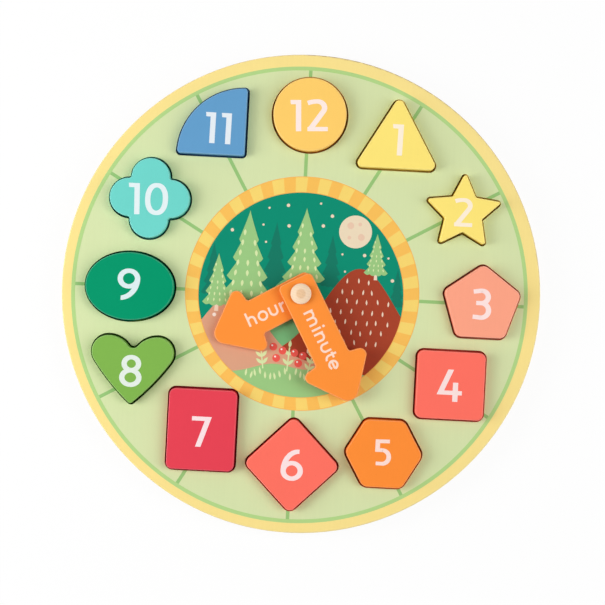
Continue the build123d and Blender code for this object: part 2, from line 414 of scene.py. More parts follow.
@dataclass(frozen=True)
class BirchPly:
    """Bare birch plywood: long pale grain on the faces and glued plies on the edges."""

    face: Colour = Colour(236, 209, 165)
    dark: Colour = Colour(205, 163, 112)
    glue: Colour = Colour(142, 98, 60)
    ply: float = 1.33
    roughness: float = 0.62
    gloss: float = 0.2

    def wood(self, graph: Graph, point: Socket) -> tuple[Socket, Socket]:
        """The bare wood's colour and height.

        Args:
            graph: the graph that it is built in.
            point: the place in millimetres.

        Returns:
            The colour, and a height from 0 to 1.
        """
        bend = graph.noise(point, 0.012, 2.0)
        x, y, z = graph.parts(point)
        parts = {0: x * 0.55 + bend * 9.0, 1: y * 0.018, 2: z * 0.4}
        along = graph.node("ShaderNodeCombineXYZ", None, parts)
        grain = graph.noise(along, 1.0, 5.0, 0.62)
        figure = graph.streaks(point, (0.07, 0.012, 0.1))
        pores = graph.streaks(point, (3.2, 0.12, 3.2), 2.0, 0.7).ramp(0.08, 0.2)
        face = graph.mix((grain * 1.5 + figure + 0.4).ramp(0.1, 0.9), self.face, self.dark)
        face = graph.mix(pores * 0.28, face, self.glue)
        layer = (z * (math.pi / self.ply)).wave()
        plies = graph.mix(layer.ramp(-0.9, 0.9) * 0.55, self.face, self.dark)
        fibres = graph.streaks(point, (0.5, 0.5, 6.0), 3.0)
        plies = graph.scaled(plies, 1.0 + fibres * 0.3)
        plies = graph.mix(abs(layer).ramp(0.16, 0.02) * 0.6, plies, self.glue)
        wall = graph.upright().ramp(0.5, 0.2)
        return graph.mix(wall, face, plies), 0.5 + grain * 0.6 - pores * 0.3


@dataclass(frozen=True)
class RecessPaint:
    """The paint in the recesses, each like the block that lies in it.

    The paints change at bearings, in degrees, that pass between the recesses.
    """

    paints: tuple[tuple[float, Colour], ...]
    within: float = 137.0
    cover: float = 0.82

    def over(self, graph: Graph, point: Socket, wood: Socket) -> Socket:
        """Paint over bare wood, thin enough for its figure to show through a little.

        Args:
            graph: the graph that it is built in.
            point: the place in millimetres.
            wood: the bare wood.

        Returns:
            The colour: the paint of its bearing within a radius, and the wood outside it.
        """
        x, y, _ = graph.parts(point)
        start = self.paints[0][0]
        share = (x.bearing(y) * (0.5 / math.pi) + (1.0 - start / 360.0)).fraction()
        stops = [((bearing - start) / 360.0, colour) for bearing, colour in self.paints]
        paint = graph.node("ShaderNodeValToRGB", {"stops": stops}, {0: share})
        painted = graph.mix(self.cover, graph.times(wood, paint), paint)
        inside = (x * x + y * y).root().ramp(self.within + 0.5, self.within - 0.5)
        return graph.mix(inside, wood, painted)


@dataclass(frozen=True)
class BackSheet:
    """The back sheet: bare plywood, painted where its upper side is the recesses' floor."""

    recess: RecessPaint
    top: float
    name: str = "back_sheet"
    ply: BirchPly = BirchPly()

    def material(self) -> bpy.types.Material:
        """Builds the sheet."""
        material, graph = new_material(self.name)
        point = graph.place()
        wood, height = self.ply.wood(graph, point)
        floor = graph.parts(point)[2].ramp(self.top - 0.2, self.top - 0.1)
        colour = graph.mix(floor, wood, self.recess.over(graph, point, wood))
        graph.surface(colour, self.ply.roughness, self.ply.gloss, height, 0.03)
        return material


@dataclass(frozen=True)
class FacePrint:
    """The face sheet: a pale green field and a yellow rim printed on it, painted cut-outs, a bare edge."""

    recess: RecessPaint
    name: str = "face_print"
    field_green: Colour = Colour(213, 225, 172)
    rim_yellow: Colour = Colour(249, 225, 143)
    rim_middle: tuple[float, float] = RING_MIDDLE
    rim_radius: float = 132.4
    grain: float = 0.055
    roughness: float = 0.55
    gloss: float = 0.12
    ply: BirchPly = BirchPly()

    def material(self) -> bpy.types.Material:
        """Builds the face.

        Returns:
            The material: ink where the surface faces up, with faint vertical grain through it, the rim's
            yellow outside the ring line, a painted highlight on the rounded rim, and plies on the walls.
        """
        material, graph = new_material(self.name)
        point = graph.place()
        x, y, _ = graph.parts(point)
        from_ring = (x - self.rim_middle[0]) ** 2.0 + (y - self.rim_middle[1]) ** 2.0
        rim = from_ring.root().ramp(self.rim_radius - 0.15, self.rim_radius + 0.15)
        ink = graph.mix(rim, self.field_green, self.rim_yellow)
        cloud = graph.noise(point, 0.02, 3.0)
        streak = graph.streaks(point, (0.9, 0.02, 0.5), 4.0, 0.62)
        lines = graph.streaks(point, (2.6, 0.035, 1.0)).ramp(0.14, 0.3)
        specks = graph.specks(point, 0.16, 0.045)
        tone = (1.0 + cloud * 0.04 + streak * self.grain - lines * 0.02) * (1.0 - specks * 0.1)
        ink = graph.scaled(ink, tone)
        wood, wood_height = self.ply.wood(graph, point)
        wood = self.recess.over(graph, point, wood)
        up = graph.upright()
        bare = up.ramp(0.6, 0.35)
        # painted highlight: where the face rounds over at its rim, the ink is mixed towards a paler yellow
        rim_highlight = up.ramp(0.75, 0.85) * up.ramp(0.999, 0.93)
        ink = graph.mix(rim_highlight * 0.25, ink, self.rim_yellow.towards(WHITE, 0.5))
        colour = graph.mix(bare, ink, wood)
        height = 0.5 + streak * 0.6 - lines * 0.2 + graph.noise(point, 1.2, 2.0) * 0.3
        graph.surface(colour, self.roughness + cloud * 0.1, self.gloss, height + wood_height * bare, 0.012)
        return material


@dataclass(frozen=True)
class TurnedWood:
    """A turned peg: speckled end grain in the middle of its head and a paler rounded rim."""

    name: str = "turned_wood"
    middle: Colour = Colour(236, 196, 154)
    rim: Colour = Colour(248, 218, 185)
    pore: Colour = Colour(186, 132, 86)
    rim_start: float = 2.2
    rim_end: float = 3.3

    def material(self) -> bpy.types.Material:
        """Builds the wood.

        Returns:
            The material: pores as specks, faint growth arcs, and turning lines round the axis.
        """
        material, graph = new_material(self.name)
        point = graph.place()
        x, y, z = graph.parts(point)
        radius = (x * x + y * y).root()
        growth = ((y + x * 0.3 + graph.noise(point, 0.2, 2.0) * 2.0) * 4.2).wave()
        pores = graph.specks(graph.times(point, (1.0, 1.0, 0.25)), 1.1, 0.2)
        coarse = graph.noise(point, 1.3, 3.0, 0.7)
        edge = radius.ramp(self.rim_start, self.rim_end)
        wood = graph.mix(edge, self.middle, self.rim)
        wood = graph.scaled(wood, 1.0 + growth * 0.025 + coarse * 0.14)
        colour = graph.mix(pores * (0.5 - edge * 0.38), wood, self.pore)
        turning = (radius * 9.0).wave()
        graph.surface(colour, 0.55 + coarse * 0.1, 0.25, 0.5 + turning * 0.15 - pores * 0.35, 0.03)
        return material


@dataclass(frozen=True)
class PressedFibre:
    """Pressed fibre board: grey brown, with short matted fibres."""

    name: str = "pressed_fibre"
    colour: Colour = Colour(122, 96, 76)
    pale: Colour = Colour(176, 148, 120)

    def material(self) -> bpy.types.Material:
        """Builds the fibre."""
        material, graph = new_material(self.name)
        point = graph.place()
        mat = graph.streaks(point, (2.2, 0.5, 2.0), 4.0, 0.7)
        cross = graph.streaks(point, (0.4, 2.4, 2.0), 4.0, 0.7)
        fibres = (mat + cross).ramp(-0.25, 0.35)
        colour = graph.mix(fibres * 0.6, self.colour, self.pale)
        graph.surface(colour, 0.8, 0.2, fibres, 0.03)
        return material


# ---------------------------------------------------------------- plan shapes


@dataclass(frozen=True)
class Patch:
    """A flat shape: a grid of plan points, rows by columns by two, open or closed round its columns."""

    grid: Array
    closed: bool = False

    def turned(self, degrees: float) -> "Patch":
        """The patch turned counter-clockwise about the origin."""
        return Patch(turned(self.grid, degrees), self.closed)

    def scaled(self, factor: float) -> "Patch":
        """The patch scaled about the origin."""
        return Patch(self.grid * factor, self.closed)

    def moved(self, shift: Sequence[float]) -> "Patch":
        """The patch moved by a shift."""
        return Patch(self.grid + np.asarray(shift, float), self.closed)


def turned(points: Array, degrees: float) -> Array:
    """Plan points turned counter-clockwise about the origin."""
    cosine, sine = math.cos(math.radians(degrees)), math.sin(math.radians(degrees))
    return points @ np.array([[cosine, sine], [-sine, cosine]])


def arc(
    middle: Sequence[float], radii: Sequence[float], start: float, end: float, steps: int = 32
) -> Array:
    """Points along an elliptical arc: the middle plus the radii times the cosine and sine of the angle.

    Args:
        middle: its centre.
        radii: its half widths along X and Y.
        start: the first angle in degrees, counter-clockwise from X.
        end: the last angle.
        steps: how many steps it has.

    Returns:
        The points, one a row.
    """
    angle = np.radians(np.linspace(start, end, steps + 1))
    return np.asarray(middle, float) + np.stack([np.cos(angle), np.sin(angle)], 1) * np.asarray(radii, float)


def ellipse(middle: Sequence[float], radii: Sequence[float], steps: int) -> Array:
    """The points of a whole ellipse, without a repeat of the first."""
    return arc(middle, radii, 0.0, 360.0, steps)[:-1]


def line(*parts: Any) -> Array:
    """One centreline from points and arrays of points, end to end, without repeats."""
    points = np.vstack([np.atleast_2d(np.asarray(part, float)) for part in parts])
    far = np.hypot(*np.diff(points, axis=0).T) > 1e-6
    return points[np.concatenate([[True], far])]


@dataclass(frozen=True)
class Pen:
    """A pen's widths: on a level stroke and on an upright one."""

    level: float
    upright: float


@dataclass(frozen=True)
class Stroke:
    """A centreline that a pen follows, open or closed, with ends cut square or along a direction."""

    path: Array
    closed: bool = False
    start_cut: Optional[tuple[float, float]] = None
    end_cut: Optional[tuple[float, float]] = None

    def patch(self, pen: Pen) -> Patch:
        """The drawn stroke.

        Two lines run half a width to the left and right of the centreline. The half width of each run is
        the level one plus the difference to the upright one times the vertical part of its direction.
        At a corner both offset lines meet: with unit normals n1 and n2, half widths h1 and h2 and their
        product c = n1.n2, the corner is (h1 (n1 - c n2) + h2 (n2 - c n1)) / (1 - c c).

        Args:
            pen: its widths.

        Returns:
            Two rows of points, one each side.
        """
        points = self.path
        after = np.roll(points, -1, axis=0) - points
        if not self.closed:
            after[-1] = after[-2]
        after = after / np.hypot(*after.T)[:, None]
        before = np.roll(after, 1, axis=0)
        if not self.closed:
            before[0] = after[0]
            before[-1] = after[-1]
        half_after = self._half(after, pen)
        half_before = self._half(before, pen)
        n1 = np.stack([-before[:, 1], before[:, 0]], 1)
        n2 = np.stack([-after[:, 1], after[:, 0]], 1)
        c = np.sum(n1 * n2, axis=1, keepdims=True)
        straight = 1.0 - c * c < 1e-4
        sharp = np.where(straight, 1.0, 1.0 - c * c)
        corner = (half_before * (n1 - c * n2) + half_after * (n2 - c * n1)) / sharp
        offset = np.where(straight, (half_before * n1 + half_after * n2) / 2.0, corner)
        if self.start_cut is not None:
            offset[0] = self._cut(n2[0], after[0], half_after[0], self.start_cut)
        if self.end_cut is not None:
            offset[-1] = self._cut(n1[-1], before[-1], half_before[-1], self.end_cut)
        return Patch(np.stack([points + offset, points - offset]), self.closed)

    @staticmethod
    def _half(directions: Array, pen: Pen) -> Array:
        """Half widths along directions."""
        return (pen.level + (pen.upright - pen.level) * np.abs(directions[:, 1:2])) / 2.0

    @staticmethod
    def _cut(normal: Array, along: Array, half: Array, cut: tuple[float, float]) -> Array:
        """An end's offset: half a width across, slid along the stroke onto the cut's direction."""
        edge = np.asarray(cut, float) / math.hypot(*cut)
        return half * (normal + along * (edge @ along) / (edge @ normal))


def fan(outline: Array, middle: Sequence[float]) -> Patch:
    """The shape inside a closed outline that its middle sees all of: a row of middles and the outline."""
    return Patch(np.stack([np.broadcast_to(np.asarray(middle, float), outline.shape), outline]), True)


def between(first: Array, second: Array) -> Patch:
    """The shape between two lines of as many points: one row each."""
    return Patch(np.stack([first, second]))


def disc(middle: Sequence[float], radius: float, steps: int) -> Patch:
    """A disc."""
    return fan(ellipse(middle, (radius, radius), steps), middle)


def annulus(inner: float, outer: float) -> Patch:
    """The ring between two circles about the origin."""
    circle = ellipse((0, 0), (1, 1), 360)
    return Patch(np.stack([circle * inner, circle * outer]), True)


def leaf(base: Sequence[float], tip: Sequence[float], width: float, steps: int = 14) -> Patch:
    """A pointed leaf: its half width is the sine of the way along it, sharpened towards the tip.

    Args:
        base: where it leaves its stem.
        tip: its point.
        width: its greatest width.
        steps: how many steps it has along it.

    Returns:
        The leaf between its two edges.
    """
    start, run = np.asarray(base, float), np.asarray(tip, float) - np.asarray(base, float)
    way = np.linspace(0.0, 1.0, steps + 1)
    half = width / 2.0 * np.sin(math.pi * way**0.85) ** 0.9
    across = np.array([-run[1], run[0]]) / np.hypot(*run)
    spine = start + way[:, None] * run
    return between(spine + half[:, None] * across, spine - half[:, None] * across)


def slab(patch: Patch, base: float, top: float) -> tuple[Array, Array]:
    """A closed thin solid on a patch: the grid at the top, the grid at the base and a wall round its edge.

    Points that fall together, as at a fan's middle, are joined, and faces that lose a side are dropped.

    Args:
        patch: the plan shape.
        base: its underside, in millimetres.
        top: its upper side.

    Returns:
        Points in metres and triangles that face outwards.
    """
    grid = patch.grid
    if patch.closed:
        grid = np.concatenate([grid, grid[:, :1]], axis=1)
    rows, columns = grid.shape[:2]
    above = np.dstack([grid, np.full((rows, columns), top)]).reshape(-1, 3)
    below = np.dstack([grid, np.full((rows, columns), base)]).reshape(-1, 3)
    points = np.vstack([above, below]) * MM
    number = np.arange(rows * columns).reshape(rows, columns)
    cells = np.stack([number[:-1, :-1], number[:-1, 1:], number[1:, 1:], number[1:, :-1]], -1).reshape(-1, 4)
    runs = [number[0], number[-1, ::-1]]
    if not patch.closed:
        runs += [number[:, -1], number[::-1, 0]]
    starts = np.concatenate([run[:-1] for run in runs])
    ends = np.concatenate([run[1:] for run in runs])
    lower = rows * columns
    walls = np.stack([starts + lower, ends + lower, ends, starts], 1)
    quads = np.vstack([cells, cells[:, ::-1] + lower, walls])
    corner = grid[:-1, :-1]
    along, diagonal, over = grid[:-1, 1:] - corner, grid[1:, 1:] - corner, grid[1:, :-1] - corner
    area = np.sum(along[..., 0] * diagonal[..., 1] - along[..., 1] * diagonal[..., 0])
    area += np.sum(diagonal[..., 0] * over[..., 1] - diagonal[..., 1] * over[..., 0])
    if area < 0:
        quads = quads[:, ::-1]
    places = np.round(points / 1e-8).astype(np.int64)
    _, keep, joined = np.unique(places, axis=0, return_index=True, return_inverse=True)
    quads = joined.reshape(-1)[quads]
    triangles = np.vstack([quads[:, [0, 1, 2]], quads[:, [0, 2, 3]]])
    a, b, c = triangles.T
    return points[keep], triangles[(a != b) & (b != c) & (c != a)]


def new_piece(
    name: str,
    patches: Sequence[Patch],
    material: bpy.types.Material,
    body: str,
    base: float,
    top: float,
    step: float = 0.0,
) -> bpy.types.Object:
    """One printed piece: a thin slab on each patch, each a step above the last, which rides on a body.

    Args:
        name: the piece's name.
        patches: its shapes.
        material: its ink.
        body: the body that carries it.
        base: the height of what carries it, in millimetres.
        top: the upper side of the first patch.
        step: how much higher each next patch is.

    Returns:
        The object.
    """
    solids = [slab(patch, base, top + step * k) for k, patch in enumerate(patches)]
    counts = np.cumsum([0] + [len(points) for points, _ in solids])
    points = np.vstack([points for points, _ in solids])
    triangles = np.vstack([faces + start for (_, faces), start in zip(solids, counts)])
    mesh = bpy.data.meshes.new(name)
    mesh.from_pydata(points.tolist(), [], triangles.tolist())
    mesh.materials.append(material)
    mesh.update()
    piece = bpy.data.objects.new(name, mesh)
    bpy.context.scene.collection.objects.link(piece)
    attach(piece, body)
    LOG.info("%s: %d triangles on %s", name, len(triangles), body)
    return piece


def dress(node: str, material: bpy.types.Material) -> None:
    """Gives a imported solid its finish."""
    for material_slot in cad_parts[node].material_slots:
        material_slot.material = material
    LOG.info("%s: %s", node, material.name)


def top_of(node: str) -> float:
    """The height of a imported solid's top, in millimetres."""
    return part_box(node)[1].z / MM


def edges_at(node: str, height: float) -> Array:
    """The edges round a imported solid's flat face at a height: those that only one of its triangles has.

    Args:
        node: the solid.
        height: the face's height, in millimetres.

    Returns:
        The edges' two plan points, count by two by two.
    """
    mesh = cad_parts[node].data
    mesh.calc_loop_triangles()
    points = np.empty(len(mesh.vertices) * 3)
    mesh.vertices.foreach_get("co", points)
    points = points.reshape(-1, 3) / MM
    corners = np.empty(len(mesh.loop_triangles) * 3, np.int64)
    mesh.loop_triangles.foreach_get("vertices", corners)
    corners = corners.reshape(-1, 3)
    flat = corners[np.all(np.abs(points[corners, 2] - height) < 1e-3, axis=1)]
    plan, joined = np.unique(np.round(points[:, :2], 3), axis=0, return_inverse=True)
    flat = joined.reshape(-1)[flat]
    edges = np.sort(np.vstack([flat[:, [0, 1]], flat[:, [1, 2]], flat[:, [2, 0]]]), axis=1)
    edges, count = np.unique(edges, axis=0, return_counts=True)
    return plan[edges[count == 1]]


# ---------------------------------------------------------------- numerals and words


NUMERAL_PEN = Pen(2.5, 3.1)
WORD_PEN = Pen(1.25, 1.25)
LEVEL = (1.0, 0.0)
UPRIGHT = (0.0, 1.0)


def one_at(x: float, foot: float, head: float, flag: float = 4.2, lean: float = 0.0) -> Stroke:
    """The figure one: a short flag into a stem at x from its head to its foot, which may lean out."""
    level = head - 1.25
    return Stroke(line((x - flag, level), (x, level), (x + lean, foot)), start_cut=(0.25, -2.0))


def zero_at(middle: Sequence[float], radii: Sequence[float]) -> Stroke:
    """The figure nought: a closed superellipse, each part the cosine or sine to the power 0.9."""
    angle = np.linspace(0.0, 2.0 * math.pi, 64, endpoint=False)
    wave = np.stack([np.cos(angle), np.sin(angle)], 1)
    return Stroke(np.asarray(middle, float) + np.sign(wave) * np.abs(wave) ** 0.9 * radii, True)


def two(shift: Sequence[float] = (0.0, 0.0)) -> list[Stroke]:
    """The figure two about its own middle: a flat arc into a round one, a slope and a square foot."""
    crown = arc((-0.11, 4.25), (8.25, 3.7), 133.0, 90.0, 10)
    bowl = arc((-0.11, 4.25), (4.14, 3.7), 90.0, -34.0)
    slope = Stroke(line(crown, bowl, (-3.86, -7.5)) + shift, end_cut=LEVEL)
    return [slope, Stroke(line((-5.9, -8.1), (5.9, -8.1)) + shift)]


def six(tail_middle: float, tail_end: float) -> list[Stroke]:
    """The figure six: a closed bowl, and a tail from its left side that is a quarter of an ellipse.

    Args:
        tail_middle: the X of the ellipse's middle.
        tail_end: the angle at which the tail ends.

    Returns:
        The bowl and the tail.
    """
    bowl = Stroke(ellipse((0.0, -3.4), (5.03, 4.56), 48), True)
    tail = arc((tail_middle, -3.4), (tail_middle + 5.03, 11.4), 180.0, tail_end)
    return [bowl, Stroke(tail, end_cut=UPRIGHT)]


@dataclass(frozen=True)
class Figure:
    """An hour's figure: its strokes, in millimetres, and its size, turn and place about a block's middle."""

    strokes: Sequence[Stroke]
    shift: tuple[float, float] = (0.0, 0.0)
    size: float = 1.0
    turn: float = 0.0

    def patches(self) -> list[Patch]:
        """The strokes, drawn."""
        drawn = [stroke.patch(NUMERAL_PEN) for stroke in self.strokes]
        return [patch.scaled(self.size).turned(self.turn).moved(self.shift) for patch in drawn]


THREE = (
    Stroke(line((-4.6, 7.3), arc((0.2, 4.4), (3.9, 3.65), 100, -90), (-2.8, 0.75))),
    Stroke(line(arc((0.3, -3.5), (4.35, 4.27), 90, -100), (-4.5, -7.4))),
)
FOUR = (
    Stroke(line((0.25, 9.3), (-5.5, -4.4), (7.2, -4.4)), start_cut=LEVEL),
    Stroke(line((3.25, 1.7), (3.25, -9.6))),
)
FIVE_SIZE = 0.88
FIVE_BOWL = arc((-0.2, -2.2), (3.95, 4.05), 90, -90)
FIVE = line((3.9, 7.3), (-3.2, 7.1), (-3.2, 1.85), (-0.3, 1.85), FIVE_BOWL, (-3.9, -6.2)) / FIVE_SIZE
SEVEN = Stroke(line((-6.0, 6.35), (3.75, 6.35), (-1.75, -10.4)), end_cut=LEVEL)
EIGHT = (
    Stroke(ellipse((0.43, 3.48), (4.18, 3.78), 48), True),
    Stroke(ellipse((0.25, -4.6), (4.95, 4.2), 48), True),
)
FIGURES = {
    1: Figure([one_at(1.95, -7.1, 11.2, 4.8)], (-0.44, 0.4), 0.985, -1.0),
    2: Figure(two(), (-0.2, 0.13), 0.895),
    3: Figure(THREE, (-0.75, 0.25), 0.99),
    4: Figure(FOUR, (-0.35, 0.1), 0.985),
    5: Figure([Stroke(FIVE)], (-0.6, 0.4), FIVE_SIZE * 0.97),
    6: Figure(six(3.6, 87.3), (0.15, 0.15), 0.99),
    7: Figure([SEVEN], (0.05, 0.3), 0.975),
    8: Figure(EIGHT, (-0.7, 0.0)),
    9: Figure(six(5.2, 95.3), (-0.5, 0.95), turn=180.0),
    10: Figure([one_at(-7.5, -9.9, 8.2, 4.8, 0.5), zero_at((4.1, -0.55), (5.15, 8.05))], turn=0.3),
    11: Figure([one_at(-2.5, -10.3, 7.6), one_at(6.7, -10.4, 7.6)], turn=-0.5),
    12: Figure([one_at(-6.7, -9.9, 8.3, 4.6)] + two((4.4, -0.5)), turn=2.9),
}


def arch(left: float, right: float, spring: float, rise: float, foot: float) -> Stroke:
    """A letter's arch: half an ellipse from its left stem to its right leg, then down to the foot."""
    middle, half = (left + right) / 2.0, (right - left) / 2.0
    return Stroke(line(arc((middle, spring), (half, rise), 180, 0, 16), (right, foot)))


def stem(x: float, low: float, high: float) -> Stroke:
    """An upright stroke."""
    return Stroke(line((x, low), (x, high)))


class Word(Enum):
    """The two words that name the hands."""

    HOUR = "hour"
    MINUTE = "minute"

    def strokes(self) -> list[Stroke]:
        """The word's strokes about the middle of its place on the hand, along X."""
        if self is Word.HOUR:
            return [
                stem(-8.5, -4.7, 3.65),
                arch(-8.5, -4.5, -1.5, 1.85, -4.7),
                Stroke(ellipse((0.6, -1.8), (2.45, 2.45), 32), True),
                Stroke(line((5.35, 1.15), arc((7.45, -2.15), (2.1, 1.95), 180, 360, 16), (9.55, 1.15))),
                stem(12.25, -4.7, 1.15),
                Stroke(arc((14.8, -1.7), (2.55, 2.1), 180, 92, 12)),
            ]
        return [
            stem(-18.4, -3.5, 2.2),
            arch(-18.4, -14.4, -0.2, 1.75, -3.5),
            arch(-14.4, -10.5, -0.2, 1.75, -3.5),
            stem(-7.4, -3.5, 2.2),
            stem(-4.5, -3.5, 2.2),
            arch(-4.5, -0.3, -0.2, 1.75, -3.5),
            Stroke(line((2.3, 2.2), arc((4.5, -1.05), (2.2, 1.95), 180, 360, 16), (6.7, 2.2))),
            Stroke(line((9.5, 3.9), arc((11.9, -0.9), (2.4, 2.2), 180, 270, 12))),
            Stroke(line((8.1, 1.5), (11.6, 1.5))),
            Stroke(line((13.1, -0.7), (17.7, -0.7))),
            Stroke(arc((15.4, -0.7), (2.35, 2.35), 0, 318, 28)),
        ]

    def patches(self) -> list[Patch]:
        """The word, drawn, with the i's dot."""
        drawn = [stroke.patch(WORD_PEN) for stroke in self.strokes()]
        if self is Word.MINUTE:
            drawn.append(disc((-7.4, 3.95), 0.78, 20))
        return drawn


# ---------------------------------------------------------------- sub-assemblies


@dataclass
class Board:
    """The back sheet and the printed face, with its ring line, hour lines and striped band."""

    ring_inner: float = 131.3
    ring_outer: float = 133.5
    band_inner: float = 59.9
    band_outer: float = 68.5
    band_line: float = 0.45
    hour_line_width: float = 2.0
    hour_line_tuck: float = 0.05
    hour_line_least: float = 0.2
    stripes: int = 60
    ring_green: Colour = Colour(177, 213, 136)
    line_green: Colour = Colour(150, 195, 121)
    stripe_orange: Colour = Colour(248, 191, 90)
    stripe_yellow: Colour = Colour(247, 214, 112)
    edge_orange: Colour = Colour(246, 180, 84)
    recess_bearings: tuple[float, ...] = (
        16.0, 47.0, 75.0, 103.6, 136.0, 163.2, 196.6, 232.3, 256.5, 284.0, 313.5, 345.0,
    )

    def build(self) -> None:
        """Dresses both sheets and prints the rings, lines and stripes on the face."""
        paints = zip(self.recess_bearings, [block.colour for block in BLOCKS])
        recess = RecessPaint(tuple(paints))
        dress("front_plate", FacePrint(recess).material())
        dress("back_plate", BackSheet(recess, top_of("back_plate")).material())
        top = top_of("front_plate")
        ring = annulus(self.ring_inner, self.ring_outer).moved(RING_MIDDLE)
        lines = self.hour_lines(top)
        orange = [self.sector(k) for k in range(0, self.stripes, 2)]
        yellow = [self.sector(k) for k in range(1, self.stripes, 2)]
        rims = [
            annulus(self.band_inner, self.band_inner + self.band_line).moved(PICTURE_MIDDLE),
            annulus(self.band_outer - self.band_line, self.band_outer).moved(BAND_MIDDLE),
        ]
        inks = (
            ("ring_line", [ring], self.ring_green, 2),
            ("hour_lines", lines, self.line_green, 1),
            ("band_orange", orange, self.stripe_orange, 1),
            ("band_yellow", yellow, self.stripe_yellow, 1),
            ("band_edges", rims, self.edge_orange, 2),
        )
        for name, patches, colour, layer in inks:
            ink = PrintInk(name + "_ink", colour).material()
            new_piece(name, patches, ink, "board", top, top + PRINT_LIFT + PRINT_STEP * layer)

    def sector(self, number: int) -> Patch:
        """One stripe of the band, clockwise from 12: both circles between two bearings."""
        width = 360.0 / self.stripes
        start = 90.0 - number * width
        circle = arc((0, 0), (1, 1), start, start - width, 6)
        return between(circle * self.band_inner + PICTURE_MIDDLE, circle * self.band_outer + BAND_MIDDLE)

    @staticmethod
    def meets(middle: Array, radius: float, along: Array, side: Array, across: Array) -> Array:
        """How far along a line its columns meet a circle.

        With the circle's middle at ds across the line and da along it, that is da plus the root of
        R R - (w - ds)(w - ds) at the column w.

        Args:
            middle: the circle's middle.
            radius: its radius R.
            along: the line's direction.
            side: the direction across it.
            across: the columns.

        Returns:
            A distance for each column.
        """
        return middle @ along + np.sqrt(radius**2 - (across - middle @ side) ** 2)

    def hour_lines(self, top: float) -> list[Patch]:
        """The lines at each hour, from the band to the ring, which stop at the cut-outs.

        The lines run out from a middle of their own. A line is cut into columns along it. A column's ends
        are tucked a little under the band's circle and the ring's. It stops where it crosses the
        edges of the face: with an edge's ends at l0 and l1 across the line and t0 and t1 along it, it
        crosses the column w at t = t0 + (t1 - t0)(w - l0)/(l1 - l0). A column that crosses edges an odd
        number of times starts within a cut-out, and its line has no part between the band and that.

        Args:
            top: the height of the face.

        Returns:
            The parts of the lines on either side of the cut-outs.
        """
        edges = edges_at("front_plate", top) - LINES_MIDDLE
        band, ring = np.subtract(BAND_MIDDLE, LINES_MIDDLE), np.subtract(RING_MIDDLE, LINES_MIDDLE)
        across = np.linspace(-self.hour_line_width / 2.0, self.hour_line_width / 2.0, 5)
        patches = []
        for hour in range(1, 13):
            bearing = math.radians(30.0 * hour)
            along = np.array([math.sin(bearing), math.cos(bearing)])
            side = np.array([along[1], -along[0]])
            l0, l1 = edges[:, 0] @ side, edges[:, 1] @ side
            t0, t1 = edges[:, 0] @ along, edges[:, 1] @ along
            inner = self.meets(band, self.band_outer, along, side, across) - self.hour_line_tuck
            outer = self.meets(ring, self.ring_inner, along, side, across) + self.hour_line_tuck
            crossed = (l0[:, None] < across) != (l1[:, None] < across)
            width = np.where(np.abs(l1 - l0) < 1e-9, 1e-9, l1 - l0)[:, None]
            place = t0[:, None] + (t1 - t0)[:, None] * (across - l0[:, None]) / width
            inside = crossed & (place > inner) & (place < outer)
            first = np.min(np.where(inside, place, outer), axis=0)
            last = np.max(np.where(inside, place, inner), axis=0)
            plan = across[:, None] * side + LINES_MIDDLE
            if np.all(np.sum(inside, axis=0) % 2 == 0):
                patches.append(between(plan + inner[:, None] * along, plan + first[:, None] * along))
            if np.all(first < outer) and np.all(last < outer - self.hour_line_least):
                patches.append(between(plan + last[:, None] * along, plan + outer[:, None] * along))
        return patches


@dataclass
class Peg:
    """The turned peg and the washers on it."""

    wood: TurnedWood = TurnedWood()
    fibre: PressedFibre = PressedFibre()

    def build(self) -> None:
        """Dresses the peg and its three washers."""
        dress("centre_peg", self.wood.material())
        fibre = self.fibre.material()
        for node in ("face_washer", "spacer_washer", "head_washer"):
            dress(node, fibre)


@dataclass
class Hand:
    """A painted arrow hand and the word printed along it.

    The word's middle is at a bearing from 12 and a distance from the peg. It reads out from the peg or
    towards it, a tilt counter-clockwise off the hand's line and a rise above it.
    """

    node: str
    word: Word
    bearing: float
    middle: float
    towards_peg: bool
    tilt: float
    rise: float
    paint: bpy.types.Material
    ink: bpy.types.Material

    def build(self) -> None:
        """Dresses the hand and prints its word, turned along the hand."""
        dress(self.node, self.paint)
        top = top_of(self.node)
        angle = math.radians(self.bearing)
        reading = 90.0 - self.bearing + (180.0 if self.towards_peg else 0.0)
        place = (math.sin(angle) * self.middle, math.cos(angle) * self.middle)
        shift = turned(np.array([[0.0, self.rise]]), reading)[0] + place
        patches = [patch.turned(reading + self.tilt).moved(shift) for patch in self.word.patches()]
        new_piece(self.node + "_word", patches, self.ink, self.node, top, top + PRINT_LIFT, STROKE_STEP)


@dataclass
class HourBlock:
    """A painted block with its hour's figure."""

    hour: int
    shape: str
    colour: Colour
    figure_white: Colour
    figure_shift: tuple[float, float] = (0.0, 0.0)

    def build(self) -> None:
        """Dresses the block and prints its figure on top."""
        node = f"block_{self.hour}_{self.shape}"
        dress(node, SatinPaint(f"{self.shape}_paint", self.colour).material())
        low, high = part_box(node)
        middle = np.array([(low.x + high.x) / 2.0, (low.y + high.y) / 2.0]) / MM + self.figure_shift
        top = high.z / MM
        ink = PrintInk(f"figure_{self.hour}_ink", self.figure_white, 0.02)
        patches = [patch.moved(middle) for patch in FIGURES[self.hour].patches()]
        new_piece(f"figure_{self.hour}", patches, ink.material(), node, top, top + PRINT_LIFT, STROKE_STEP)


